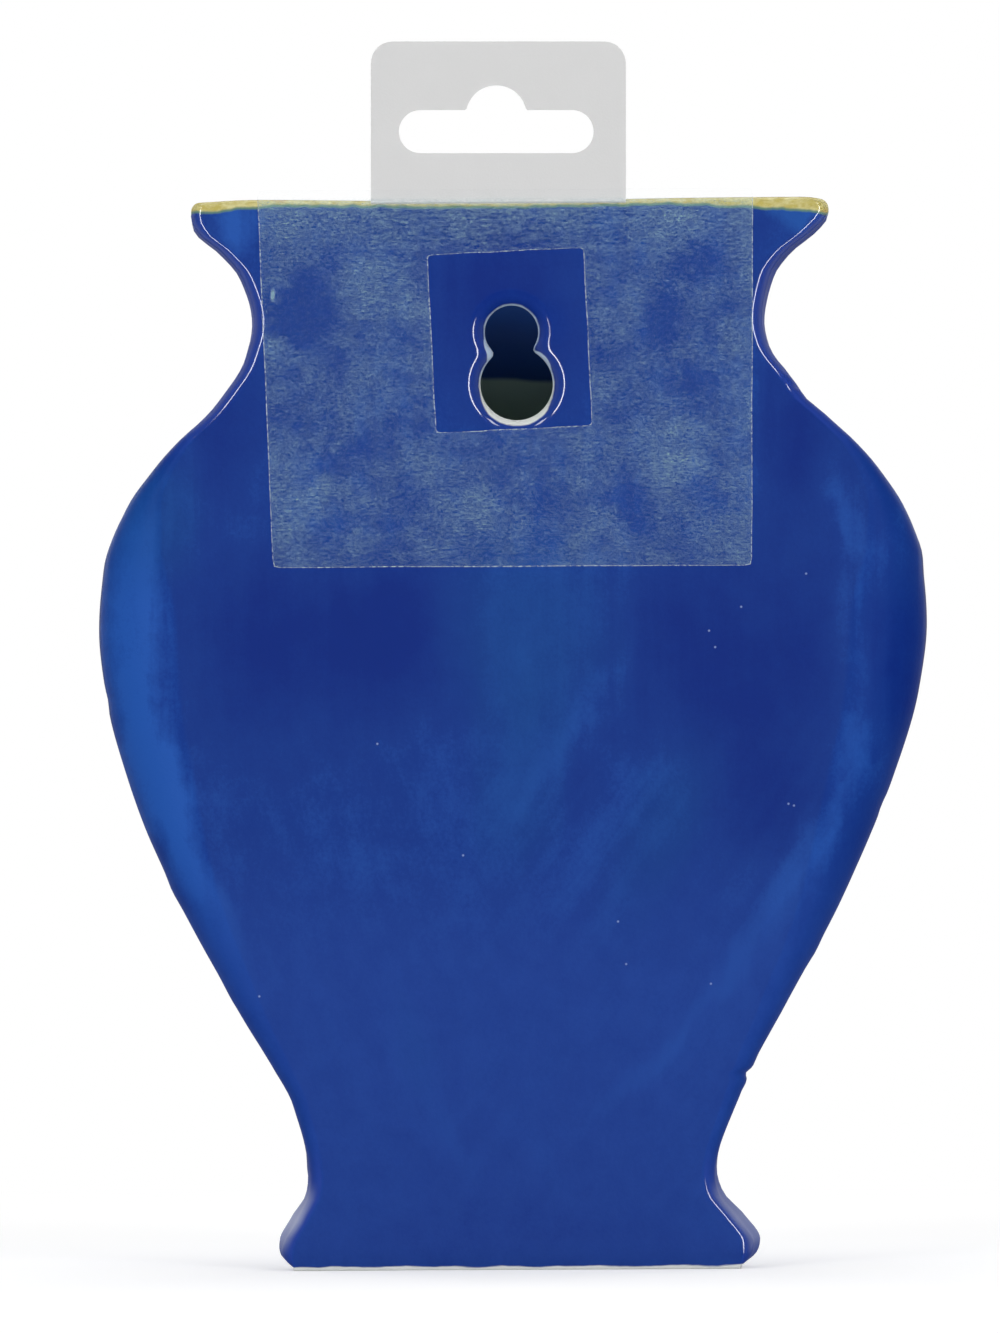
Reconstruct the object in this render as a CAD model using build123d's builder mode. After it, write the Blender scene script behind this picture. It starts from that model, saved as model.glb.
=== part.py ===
from build123d import *

import os
from math import atan2, degrees

# A flat-backed hanging wall vase of glazed clay, with the shop's hang tab still stuck to its back.
# Lengths are millimetres. The origin is the centre of the keyhole's small lobe, on the back plane,
# where the wall screw's shank comes to rest. +Y points out of the flat back, into the wall, +Z is up
# and the bowed front faces -Y. Levels are heights above the table that the foot can stand on.

# Heights of the vase's stretches, from the table up, and the screw's drop below the top of the lip
foot_height = 4.8
flare_height = 11.2
swell_height = 89.8
shoulder_height = 50.2
throat_height = 18.6
lip_height = 1.9
seat_drop = 22.3

# Widths across the front
mouth_width = 105.6
neck_width = 84.6
belly_width = 136.5
waist_width = 67.0
foot_width = 79.4
sole_width = 78.6

# Depths from the back plane to the front
mouth_depth = 46.0
neck_depth = 35.0
belly_depth = 60.0
waist_depth = 31.0
foot_depth = 38.0
sole_depth = 37.6

# Softened corners where the flat back turns into the sides: across the back, then along the depth
mouth_roll, mouth_roll_depth = 3.5, 3.5
neck_roll, neck_roll_depth = 4.0, 4.0
belly_roll, belly_roll_depth = 14.0, 9.0
waist_roll, waist_roll_depth = 5.0, 5.0
foot_roll, foot_roll_depth = 6.0, 5.0

# Clay thicknesses and the radii left by sponging the edges
back_thickness = 5.0
wall_thickness = 4.5
floor_thickness = 6.0
inside_corner = 3.0
sole_radius = 4.2
lip_outer_radius = 1.5
lip_inner_radius = 1.2

# Keyhole in the back: the screw's head enters the big lobe, then the vase drops onto the small one
seat_radius = 4.4
entry_radius = 5.96
entry_drop = 8.56
entry_shift = 0.8
keyhole_neck = 6.2
keyhole_bevel = 1.6
bevel_angle = 90.0
quarter_turn = 90.0

# Frosted adhesive film on the back, cut out by hand round the keyhole
film_thickness = 0.25
film_rise = 1.1
film_height = 62.0
film_top_left, film_top_right = -41.7, 39.8
film_bottom_left, film_bottom_right = -39.4, 39.3
film_corner = 0.6
window_width = 25.6
window_height = 29.2
window_left = 0.3
window_drop = 1.4
window_tilt = 2.5
window_corner = 0.5

# Hang tab: a flat sheet with a round-topped slot, clamped by the film and bending at the film's edge
tab_thickness = 0.4
tab_width = 41.9
tab_rise = 25.5
tab_left = 2.0
tab_corner = 3.6
leg_depth = 10.0
flex_gap = 0.9
flex_clearance = 0.5
slot_length = 32.0
slot_height = 7.1
slot_left = 2.35
slot_drop = 14.8
hump_radius = 5.0
hump_lift = 2.6

# Cuts run this far past the faces that they go through
overrun = 5.0

# Levels that follow from the sizes above
foot_level = foot_height
waist_level = foot_level + flare_height
belly_level = waist_level + swell_height
neck_level = belly_level + shoulder_height
mouth_level = neck_level + throat_height
vase_height = mouth_level + lip_height
seat_level = vase_height - seat_drop
film_top_level = vase_height + film_rise
flex_level = film_top_level + flex_clearance

# A ring is one level of the outline: level, half width, depth, then the roll's width and depth
sole_ring = (0, sole_width / 2, sole_depth, foot_roll, foot_roll_depth)
foot_ring = (foot_level, foot_width / 2, foot_depth, foot_roll, foot_roll_depth)
waist_ring = (waist_level, waist_width / 2, waist_depth, waist_roll, waist_roll_depth)
belly_ring = (belly_level, belly_width / 2, belly_depth, belly_roll, belly_roll_depth)
neck_ring = (neck_level, neck_width / 2, neck_depth, neck_roll, neck_roll_depth)
mouth_ring = (mouth_level, mouth_width / 2, mouth_depth, mouth_roll, mouth_roll_depth)

# In between, the outline is given as shares of the way up and of the change in size
flare_shares = ((0.35, 0.36), (0.70, 0.87))
taper_shares = ((0.12, 0.08), (0.30, 0.33), (0.50, 0.61), (0.72, 0.85), (0.88, 0.965))
shoulder_shares = ((0.20, 0.03), (0.38, 0.15), (0.52, 0.32), (0.60, 0.455), (0.75, 0.77), (0.88, 0.945))
throat_shares = ((0.39, 0.15), (0.60, 0.42), (0.80, 0.81))


def ring_at(lower, upper, rise_share, size_share):
    """The ring that lies the given shares of the way from one ring to the next."""
    level = lower[0] + rise_share * (upper[0] - lower[0])
    sizes = [a + size_share * (b - a) for a, b in zip(lower[1:], upper[1:])]
    return (level, *sizes)


def rings_between(lower, upper, shares):
    """All rings of one stretch of the outline, without its two ends."""
    return [ring_at(lower, upper, rise_share, size_share) for rise_share, size_share in shares]


def level_plane(level):
    """The level plane at a height above the table."""
    return Plane.XY.offset(level - seat_level)


def d_outline(half_width, back, corner, corner_depth, depth):
    """A D outline: a flat back at y = -back, soft corners and a bowed front, drawn anticlockwise."""
    flat = half_width - corner
    turn = -back - corner_depth
    bow = depth - back - corner_depth
    Line((flat, -back), (-flat, -back))
    EllipticalCenterArc((-flat, turn), corner, corner_depth, quarter_turn, arc_size=quarter_turn)
    EllipticalCenterArc((0, turn), half_width, bow, 2 * quarter_turn, arc_size=quarter_turn)
    EllipticalCenterArc((0, turn), half_width, bow, 3 * quarter_turn, arc_size=quarter_turn)
    EllipticalCenterArc((flat, turn), corner, corner_depth, 0, arc_size=quarter_turn)


def outer_section(ring):
    """The outside of the clay at one ring."""
    level, half_width, depth, corner, corner_depth = ring
    with BuildSketch(level_plane(level)) as section:
        with BuildLine():
            d_outline(half_width, 0, corner, corner_depth, depth)
        make_face()
    return section.sketch


def inner_section(ring):
    """The inside of the clay at one ring, clear of the back and one wall in from the front."""
    level, half_width, depth = ring[:3]
    with BuildSketch(level_plane(level)) as section:
        with BuildLine():
            inner_half = half_width - wall_thickness
            d_outline(inner_half, back_thickness, inside_corner, inside_corner, depth - wall_thickness)
        make_face()
    return section.sketch


upper_rings = [
    *rings_between(waist_ring, belly_ring, taper_shares),
    belly_ring,
    *rings_between(belly_ring, neck_ring, shoulder_shares),
    neck_ring,
    *rings_between(neck_ring, mouth_ring, throat_shares),
    mouth_ring,
]
outer_rings = [
    sole_ring,
    foot_ring,
    *rings_between(foot_ring, waist_ring, flare_shares),
    waist_ring,
    *upper_rings,
]
floor_ring = (floor_thickness, *waist_ring[1:])
inner_rings = [floor_ring, waist_ring, *upper_rings]

# Planes that part the clay, and the view on the back with +x to the viewer's right and +y up
slab_front = Plane.XZ.offset(back_thickness)
floor_top = level_plane(floor_thickness)
back_view = Plane(origin=(0, 0, 0), x_dir=(-1, 0, 0), z_dir=(0, 1, 0))

# The whole outside form below the lip, cut up into the clay pieces further down
with BuildPart() as outer_form:
    loft(sections=[outer_section(ring) for ring in outer_rings])
    fillet(outer_form.edges().group_by(Axis.Z)[0], radius=sole_radius)

# The hollow, from the floor up through the neck and past the lip
with BuildPart() as hollow:
    loft(sections=[inner_section(ring) for ring in inner_rings])
    add(inner_section(mouth_ring))
    extrude(amount=lip_height + overrun)

# Flat back, with the keyhole and its bevelled mouth
with BuildPart() as back_slab:
    add(outer_form.part)
    split(bisect_by=slab_front, keep=Keep.BOTTOM)
    neck_tilt = degrees(atan2(entry_shift, entry_drop))
    with BuildSketch(back_view) as keyhole_throat:
        with Locations((entry_shift / 2, -entry_drop / 2)):
            Rectangle(keyhole_neck, entry_drop, rotation=neck_tilt)
    extrude(amount=-back_thickness, mode=Mode.SUBTRACT)
    with Locations(back_view):
        CounterSinkHole(seat_radius, seat_radius + keyhole_bevel, counter_sink_angle=bevel_angle)
        with Locations((entry_shift, -entry_drop)):
            CounterSinkHole(entry_radius, entry_radius + keyhole_bevel, counter_sink_angle=bevel_angle)
back_slab.part.label = "back_slab"

# Bowed front wall, from the floor's top face to under the lip
with BuildPart() as front_shell:
    add(outer_form.part)
    split(bisect_by=slab_front, keep=Keep.TOP)
    split(bisect_by=floor_top, keep=Keep.TOP)
    add(hollow.part, mode=Mode.SUBTRACT)
front_shell.part.label = "front_shell"

# Floor slab with the foot's flared edge
with BuildPart() as foot_slab:
    add(outer_form.part)
    split(bisect_by=slab_front, keep=Keep.TOP)
    split(bisect_by=floor_top, keep=Keep.BOTTOM)
foot_slab.part.label = "foot_slab"

# Rounded lip that closes the top edge of the back and the front
with BuildPart() as rim_lip:
    add(outer_section(mouth_ring))
    extrude(amount=lip_height)
    fillet(rim_lip.edges().group_by(Axis.Z)[-1], radius=lip_outer_radius)
    add(hollow.part, mode=Mode.SUBTRACT)
    mouth_edges = rim_lip.faces().sort_by(Axis.Z)[-1].inner_wires()[0].edges()
    fillet(mouth_edges, radius=lip_inner_radius)
rim_lip.part.label = "rim_lip"

# Lower end of the tab, flat on the back under the film
leg_foot = vase_height - leg_depth - seat_level
leg_head = flex_level - flex_gap / 2 - seat_level
with BuildPart() as hang_tab_leg:
    with BuildSketch(back_view) as leg_outline:
        with Locations((-tab_left, leg_foot)):
            Rectangle(tab_width, leg_head - leg_foot, align=(Align.CENTER, Align.MIN))
    extrude(amount=tab_thickness)
hang_tab_leg.part.label = "hang_tab_leg"

# Upper end of the tab, free to bend at the film's edge, with its hanging slot
panel_foot = flex_level + flex_gap / 2 - seat_level
panel_head = vase_height + tab_rise - seat_level
slot_middle = panel_head - slot_drop
with BuildPart() as hang_tab:
    with BuildSketch(back_view) as tab_outline:
        with Locations((-tab_left, panel_foot)):
            Rectangle(tab_width, panel_head - panel_foot, align=(Align.CENTER, Align.MIN))
        fillet(tab_outline.vertices().group_by(Axis.Z)[-1], radius=tab_corner)
        with Locations((-slot_left, slot_middle)):
            SlotOverall(slot_length, slot_height, mode=Mode.SUBTRACT)
        with Locations((-slot_left, slot_middle + hump_lift)):
            Circle(hump_radius, mode=Mode.SUBTRACT)
    extrude(amount=tab_thickness)
hang_tab.part.label = "hang_tab"

# Film on the back: flat on the glaze, and lifted over the tab's leg
film_head = film_top_level - seat_level
film_foot = film_head - film_height
with BuildPart() as adhesive_film:
    with BuildSketch(back_view) as film_outline:
        with BuildLine():
            Polyline(
                (film_top_left, film_head),
                (film_bottom_left, film_foot),
                (film_bottom_right, film_foot),
                (film_top_right, film_head),
                close=True,
            )
        make_face()
        fillet(film_outline.vertices(), radius=film_corner)
        with Locations((-window_left, -window_drop)):
            RectangleRounded(
                window_width, window_height, window_corner, rotation=window_tilt, mode=Mode.SUBTRACT
            )
    extrude(amount=film_thickness)
    with BuildSketch(back_view) as tent_outline:
        with Locations((-tab_left, film_head)):
            Rectangle(
                tab_width + 2 * film_thickness,
                film_head - leg_foot + film_thickness,
                align=(Align.CENTER, Align.MAX),
            )
    extrude(amount=tab_thickness + film_thickness)
    with BuildSketch(back_view) as leg_pocket:
        with Locations((-tab_left, leg_foot)):
            Rectangle(tab_width, leg_head - leg_foot, align=(Align.CENTER, Align.MIN))
    extrude(amount=tab_thickness, mode=Mode.SUBTRACT)
adhesive_film.part.label = "adhesive_film"

os.makedirs("parts", exist_ok=True)
pieces = [back_slab, front_shell, foot_slab, rim_lip, hang_tab_leg, hang_tab, adhesive_film]
for piece in pieces:
    export_step(piece.part, f"parts/{piece.part.label}.step")
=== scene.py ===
import math

import bpy
import numpy as np
from mathutils import Matrix, Vector


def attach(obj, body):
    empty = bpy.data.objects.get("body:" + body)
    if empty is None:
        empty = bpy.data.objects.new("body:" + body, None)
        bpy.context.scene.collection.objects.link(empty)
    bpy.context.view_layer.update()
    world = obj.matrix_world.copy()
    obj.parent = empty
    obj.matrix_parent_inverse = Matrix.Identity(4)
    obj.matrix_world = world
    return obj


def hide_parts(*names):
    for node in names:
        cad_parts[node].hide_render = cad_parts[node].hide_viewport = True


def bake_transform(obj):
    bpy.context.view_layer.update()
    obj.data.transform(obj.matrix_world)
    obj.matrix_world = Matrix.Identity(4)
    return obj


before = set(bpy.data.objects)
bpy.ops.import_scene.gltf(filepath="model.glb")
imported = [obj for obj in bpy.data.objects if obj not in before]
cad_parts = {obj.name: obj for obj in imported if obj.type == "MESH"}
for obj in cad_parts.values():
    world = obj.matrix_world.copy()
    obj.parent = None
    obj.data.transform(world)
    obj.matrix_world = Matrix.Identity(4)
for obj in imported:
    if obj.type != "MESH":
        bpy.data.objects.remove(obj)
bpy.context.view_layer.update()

# Lengths below are millimetres in the frame of the CAD: origin at the keyhole's small lobe, +Y out of the
# flat back, +Z up, +X to the viewer's left when the back is seen. Levels are heights above the table.
MM = 0.001
SEAT = 154.2
BACK = 5.0
WALL = 4.5
FLOOR = 6.0
INSIDE_CORNER = 3.0
MOUTH = 174.6
LIP = 1.9
SOLE_RADIUS = 4.2
SOLE_FLAT = 0.3
SAG_FROM, SAG_FULL = 165.5, 175.5

# Rings of the outline: level, half width, depth
SOLE = (0, 39.3, 37.6)
FOOT = (4.8, 39.7, 38.0)
WAIST = (16.0, 33.5, 31.0)
BELLY = (105.8, 68.25, 60.0)
NECK = (156.0, 42.3, 35.0)
RIM = (MOUTH, 52.8, 46.0)
# Steps between two rings: share of the rise, share of the change in size
FLARE = ((0.35, 0.36), (0.70, 0.87))
TAPER = ((0.12, 0.08), (0.30, 0.33), (0.50, 0.61), (0.72, 0.85), (0.88, 0.965))
SHOULDER = ((0.20, 0.03), (0.38, 0.15), (0.52, 0.32), (0.60, 0.455), (0.75, 0.77), (0.88, 0.945))
THROAT = ((0.39, 0.15), (0.60, 0.42), (0.80, 0.81))

# level, then the roll of the back's edge across and in depth
ROLL = ((0, 2.2, 2.2), (20, 2.3, 2.3), (55, 6.5, 5.5), (85, 12.5, 8.5), (105.8, 14.0, 9.0), (120, 9.0, 7.0),
        (130, 4.2, 4.2), (138, 2.5, 2.5), (156, 2.2, 2.2), (MOUTH + LIP, 2.0, 2.0))
# level, then how far the back's edge is drawn in from the side wall, and how far the side wall is pushed out,
# each on the +x side and on the -x side
SPREAD = np.array([
    (0, 0.2, 0.4, 0, 0), (1, 0.3, 0.7, 0, 0.2), (2.4, 0.2, 1, 0.8, 0.6), (4.8, 0.8, 1.6, 0.9, 0.5),
    (6.5, 1.2, 2, 0.9, 0.4), (8.7, 0.9, 2.1, 1.1, 0.3), (12.7, 0, 1.4, 1.35, 0.4), (16.6, -0.3, 0.6, 1.5, 0.5),
    (20.6, -0.15, 0.25, 0.8, 0.1), (24.5, -0.1, 0.1, 0.6, -0.2), (28.5, -0.1, 0, 0.35, 0.2), (40, 0, 0, 0, 0),
    (122, 0, 0, 0, 0), (131, 0.4, 0.35, -0.5, -0.4), (139.4, 0.5, 0.5, -0.6, -0.5), (143.4, 0.3, 0.4, -0.4, -0.4),
    (147.3, 0.25, 0.4, 0.1, 0), (151.3, 0.3, 0.55, 0.5, 0.4), (155.3, 0.35, 0.6, 0.8, 0.6),
    (159.2, 0.35, 0.65, 0.85, 0.8), (167, 0.35, 0.65, 0.95, 1.2), (172, 0.3, 0.5, 0.8, 1.1),
    (MOUTH, 0.4, 0.4, -0.9, 0.3), (MOUTH + LIP, 0.3, 0.3, -1.1, 0.2),
])

# How far the potted outline drifts to the viewer's right at each level
DRIFT = np.array([
    (0, 0.25), (2.5, 0.6), (4.8, 0.85), (8.7, 0.75), (12.7, 0.3), (16.7, -0.1), (20.6, -0.25), (28.5, 0),
    (32.5, -0.4), (40, -0.65), (56, -0.65), (72, -0.7), (88, -0.35), (96, -0.15), (106, 0), (116, 0.1),
    (124, 0.4), (132, 0.5), (139.4, 0.5), (143.4, 0.1), (147.3, 0.3), (151.3, -0.35), (159, -0.45), (167, -0.95),
    (171, -0.8), (174.6, -0.2), (176.5, -0.2),
])

# Nicks and swells at the edge: side, level, half height, how far out
NICKS = ((1, 147.3, 3.0, 0.45), (-1, 147.5, 2.5, 0.4), (-1, 144.9, 0.9, 0.3), (-1, 30.6, 0.9, 0.25),
         (-1, 32.1, 0.55, -0.45), (-1, 33.6, 0.9, 0.2), (1, 93.9, 1.6, -0.22), (1, 62.5, 2.2, 0.25),
         (-1, 141.0, 1.6, 0.3), (-1, 118.0, 2.5, 0.2), (1, 45.0, 2.2, 0.15), (-1, 52.0, 1.8, 0.18),
         (-1, 76.0, 1.4, -0.18), (1, 128.0, 2.6, 0.15))


def between(lower, upper, shares):
    """Levels of the outline between two of its rings, at shares of the rise and of the change in size."""
    return [tuple(a + s * (b - a) for a, b, s in zip(lower, upper, (rise, size, size))) for rise, size in shares]


# The clay's outside, and its inside before the wall is taken off; both are the same from the waist up
ABOVE = [WAIST, *between(WAIST, BELLY, TAPER), BELLY, *between(BELLY, NECK, SHOULDER), NECK,
         *between(NECK, RIM, THROAT), RIM, (MOUTH + LIP, *RIM[1:])]
OUTER = [SOLE, FOOT, *between(FOOT, WAIST, FLARE), *ABOVE]
INNER = [(0, *WAIST[1:]), *ABOVE]


def smooth_table(levels, values, at):
    """A smooth curve through a table that doesn't overshoot it."""
    x, y = np.asarray(levels, float), np.asarray(values, float)
    at = np.clip(np.asarray(at, float), x[0], x[-1])
    h = np.diff(x)
    m = np.diff(y) / h
    d = np.zeros_like(y)
    for k in range(1, len(x) - 1):
        if m[k - 1] * m[k] > 0:
            w1, w2 = 2 * h[k] + h[k - 1], h[k] + 2 * h[k - 1]
            d[k] = (w1 + w2) / (w1 / m[k - 1] + w2 / m[k])
    d[0], d[-1] = m[0], m[-1]
    k = np.clip(np.searchsorted(x, at, side="right") - 1, 0, len(x) - 2)
    t = (at - x[k]) / h[k]
    return ((1 + 2 * t) * (1 - t) ** 2 * y[k] + t * (1 - t) ** 2 * h[k] * d[k]
            + t * t * (3 - 2 * t) * y[k + 1] + t * t * (t - 1) * h[k] * d[k + 1])


def sizes_at(table, level):
    """The two sizes that a table gives at a level."""
    table = np.array(table, float)
    return [float(smooth_table(table[:, 0], table[:, k], level)) for k in (1, 2)]


def smoothstep(a, b, v):
    t = np.clip((np.asarray(v, float) - a) / (b - a), 0, 1)
    return t * t * (3 - 2 * t)


def resample(points, n):
    """n + 1 points spread evenly along a fine polyline."""
    run = np.r_[0, np.cumsum(np.linalg.norm(np.diff(points, axis=0), axis=1))]
    at = np.linspace(0, run[-1], n + 1)
    return np.c_[np.interp(at, run, points[:, 0]), np.interp(at, run, points[:, 1])]


def outer_half(level, n_side, n_front):
    """The +x half of the outline: from the flat's end round to y = -BACK, then on to the front's middle."""
    half, depth = sizes_at(OUTER, level)
    roll, roll_depth = sizes_at(ROLL, level)
    a = np.linspace(math.pi / 2, 0, 70)
    b = np.linspace(0, math.pi / 2, 260)[1:]
    corner = np.c_[half - roll + roll * np.cos(a), -roll_depth + roll_depth * np.sin(a)]
    bow = np.c_[half * np.cos(b), -roll_depth - (depth - roll_depth) * np.sin(b)]
    curve = np.r_[corner, bow]
    if level < SOLE_RADIUS:
        # the foot's rounded lower edge
        shrink = SOLE_RADIUS - math.sqrt(SOLE_RADIUS ** 2 - (SOLE_RADIUS - level) ** 2)
        t = np.gradient(curve, axis=0)
        t /= np.linalg.norm(t, axis=1)[:, None]
        normal = np.c_[-t[:, 1], t[:, 0] * SOLE_FLAT]
        curve = curve - shrink * normal
        curve = curve[np.r_[True, np.diff(curve[:, 1]) < 1e-9]]
    k = int(np.argmax(curve[:, 1] < -BACK))
    f = (-BACK - curve[k - 1, 1]) / (curve[k, 1] - curve[k - 1, 1])
    cut = curve[k - 1] + f * (curve[k] - curve[k - 1])
    side = resample(np.r_[curve[:k], [cut]], n_side)
    front = resample(np.r_[[cut], curve[k:]], n_front)
    front[-1, 0] = 0
    return side, front


def inner_half(level, n_front):
    """The +x half of the hollow's outline, from the back's inside plane round to the front's middle."""
    half, depth = sizes_at(INNER, level)
    half -= WALL
    a = np.linspace(math.pi / 2, 0, 50)
    b = np.linspace(0, math.pi / 2, 260)[1:]
    c = INSIDE_CORNER
    corner = np.c_[half - c + c * np.cos(a), -BACK - c + c * np.sin(a)]
    bow = np.c_[half * np.cos(b), -BACK - c - (depth - WALL - BACK - c) * np.sin(b)]
    curve = resample(np.r_[corner, bow], n_front)
    curve[-1, 0] = 0
    return curve


# Rows of the clay meshes, and the columns of the flat back: a fixed middle strip holds the keyhole
STEP = 1.25
rows = [SOLE_RADIUS * (1 - math.cos(a)) for a in np.linspace(0, math.pi / 2, 12)]
rows += [4.8, 5.4, FLOOR, 31.2, 32.2, 32.5, 33.4, MOUTH]
rows += [SEAT + z for z in np.arange(-147.5, 20.01, STEP)]
rows = np.array(sorted(rows))
STRIP = 20.0
N_SIDE, N_OUT, N_FRONT = 20, 22, 72
strip = np.arange(-STRIP, STRIP + 0.01, STEP)

SLAB_COLUMNS = 2 * (N_SIDE + N_OUT) + len(strip)
slab_xy, shell_xy, inner_xy = [], [], []
for level in rows:
    side, front = outer_half(level, N_SIDE, N_FRONT)
    flat = side[0, 0]
    out = np.c_[np.linspace(STRIP, flat, N_OUT + 1)[1:], np.full(N_OUT, side[0, 1])]
    right = np.r_[out, side[1:]]
    middle = np.c_[strip, np.full(len(strip), side[0, 1])]
    slab_xy.append(np.r_[right[::-1] * [-1, 1], middle, right])
    shell_xy.append(np.r_[front, front[-2::-1] * [-1, 1]])
    inner = inner_half(level, N_FRONT)
    inner_xy.append(np.r_[inner, inner[-2::-1] * [-1, 1]])
slab_xy, shell_xy, inner_xy = map(np.array, (slab_xy, shell_xy, inner_xy))


def warp(P, level):
    """The small faults of hand work: the outline's drift, the lip's droop at its ends and nicks at the edge."""
    P = np.array(P, float)
    x, y = P[..., 0].copy(), P[..., 1]
    shift = -np.interp(level, DRIFT[:, 0], DRIFT[:, 1])
    # keep the flat's middle, where the keyhole and the film are
    held = smoothstep(STRIP, STRIP + 8, np.abs(x))
    inner_part = smoothstep(-BACK - 6, -BACK, y)
    P[..., 0] += shift * (1 - inner_part * (1 - held))
    # the lip sags a little in the middle and droops at both ends
    sag = 0.33 + 0.5 * np.exp(-((x - 5) / 26) ** 2)
    droop = 0.45 * smoothstep(41, 52.5, x) ** 1.3 + 0.45 * smoothstep(47, 52.8, -x) ** 2
    P[..., 2] -= smoothstep(SAG_FROM, SAG_FULL, level) * (sag + droop)
    share = np.abs(x) / np.interp(level, [r[0] for r in OUTER], [r[1] for r in OUTER])
    stand, push = (np.where(x > 0, *(smooth_table(SPREAD[:, 0], SPREAD[:, j], level) for j in (k, k + 1)))
                   for k in (1, 3))
    push = push * smoothstep(-1, -10, y) * smoothstep(-30, -12, y)
    P[..., 0] += np.sign(x) * smoothstep(0.55, 0.9, share) * (push - stand * smoothstep(-10, -2.5, y))
    edge = smoothstep(0.75, 0.97, share)
    for sign, at, half, amount in NICKS:
        near = np.exp(-((level - at) / half) ** 2) * (np.sign(x) == sign)
        P[..., 0] += sign * amount * near * edge * smoothstep(-22, -10, y)
    return P


def unit(v):
    return v / np.maximum(np.linalg.norm(v, axis=-1, keepdims=True), 1e-12)


def grid_normals(P, closed):
    """Normals of a grid, by differences along its rows and columns, on either of its two sides."""
    if closed:
        dc = np.roll(P, -1, axis=1) - np.roll(P, 1, axis=1)
    else:
        dc = np.gradient(P, axis=1)
    dr = np.gradient(P, axis=0)
    return unit(np.cross(dc, dr))


def aimed(N, row, column, axis, way):
    """The normals, all turned over unless the one at this row and column points this way along the axis."""
    return N if N[row, column, axis] * way > 0 else -N


class Piece:
    """Collects grid patches into one closed mesh, with a normal for each corner."""

    def __init__(self):
        self.index, self.points, self.levels = {}, [], []
        self.faces, self.normals, self.slots = [], [], []

    def vertex(self, p, level):
        """The number of the vertex at a point, which all patches share."""
        key = tuple(np.round(p, 4))
        if key not in self.index:
            self.index[key] = len(self.points)
            self.points.append(p)
            self.levels.append(level)
        return self.index[key]

    def patch(self, P, levels, normals=None, facing=None, closed=False, slot=0):
        """Adds a grid of points as faces: with these normals, or flat and turned the way of facing."""
        P = np.asarray(P, float)
        n_rows, n_cols = P.shape[:2]
        levels = np.broadcast_to(np.asarray(levels, float), (n_rows, n_cols))
        ids = [[self.vertex(P[r, c], levels[r, c]) for c in range(n_cols)] for r in range(n_rows)]
        for r in range(n_rows - 1):
            for c in range(n_cols if closed else n_cols - 1):
                d = (c + 1) % n_cols
                spots = [(r, c), (r, d), (r + 1, d), (r + 1, c)]
                quad = [ids[a][b] for a, b in spots]
                keep = [k for k in range(4) if quad[k] != quad[k - 1]]
                if len(keep) < 3 or len(set(quad[k] for k in keep)) < len(keep):
                    continue
                corners = [P[spots[k]] for k in keep]
                flat = np.zeros(3)
                for k in range(len(corners)):
                    flat = flat + np.cross(corners[k - 1], corners[k])
                if np.linalg.norm(flat) < 1e-9:
                    continue
                flat = unit(flat)
                if normals is not None:
                    mine = [normals[spots[k]] for k in keep]
                    ahead = np.dot(flat, np.mean(mine, axis=0)) > 0
                else:
                    ahead = np.dot(flat, facing(np.mean(corners, axis=0)) if callable(facing) else facing) > 0
                    mine = [flat if ahead else -flat] * len(keep)
                face = [quad[k] for k in keep]
                if not ahead:
                    face, mine = face[::-1], mine[::-1]
                self.faces.append(face)
                self.normals.extend(mine)
                self.slots.append(slot)

    def build(self, name, attribute="level"):
        """The mesh as an object, with the levels kept in an attribute."""
        mesh = bpy.data.meshes.new(name)
        mesh.from_pydata([tuple(np.array(p) * MM) for p in self.points], [], self.faces)
        mesh.polygons.foreach_set("use_smooth", [True] * len(mesh.polygons))
        mesh.polygons.foreach_set("material_index", self.slots)
        height = mesh.attributes.new(attribute, "FLOAT", "POINT")
        height.data.foreach_set("value", np.array(self.levels, np.float32))
        mesh.normals_split_custom_set([tuple(n) for n in self.normals])
        mesh.update()
        obj = bpy.data.objects.new(name, mesh)
        bpy.context.scene.collection.objects.link(obj)
        return obj


def lift(xy, levels):
    """A stack of outlines as points, warped."""
    P = np.concatenate([xy, np.broadcast_to((np.asarray(levels) - SEAT)[:, None, None], (*xy.shape[:2], 1))], axis=2)
    return warp(P, np.asarray(levels)[:, None])


slab_P, shell_P, inner_P = lift(slab_xy, rows), lift(shell_xy, rows), lift(inner_xy, rows)
# one closed loop round the vase: slab columns from -x to +x, then the front from +x back to -x
whole = np.concatenate([slab_P, shell_P[:, 1:-1]], axis=1)
middle_row, front_col = len(rows) // 2, SLAB_COLUMNS - 1 + N_FRONT
whole_N = aimed(grid_normals(whole, closed=True), middle_row, front_col, 1, -1)
slab_N = whole_N[:, :SLAB_COLUMNS]
shell_N = np.concatenate([whole_N[:, SLAB_COLUMNS - 1:], whole_N[:, :1]], axis=1)
inner_N = aimed(grid_normals(inner_P, closed=False), middle_row, N_FRONT, 1, 1)

# The slab's inside plane has the same columns, drawn in to the line where the front wall meets it
plane_xy = slab_xy.copy()
plane_xy[..., 1] = -BACK
for r in range(len(rows)):
    flat = slab_xy[r, -1 - N_SIDE, 0]
    reach = slab_xy[r, -1, 0]
    across = flat + (reach - flat) * np.linspace(0, 1, N_SIDE + 1)[1:]
    plane_xy[r, -N_SIDE:, 0] = across
    plane_xy[r, :N_SIDE, 0] = -across[::-1]
plane_P = lift(plane_xy, rows)

# The clay pieces' second material
INSIDE = 1

# Keyhole: two lobes run together, each as x, z and radius, with the glaze rolled over the edge
SMALL, BIG = (0.0, 0.0, 4.4), (-0.8, -8.56, 5.96)
BEVEL, BEVEL_DEPTH = 2.6, 2.5
BLEND_LOBES = 1.1


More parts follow.
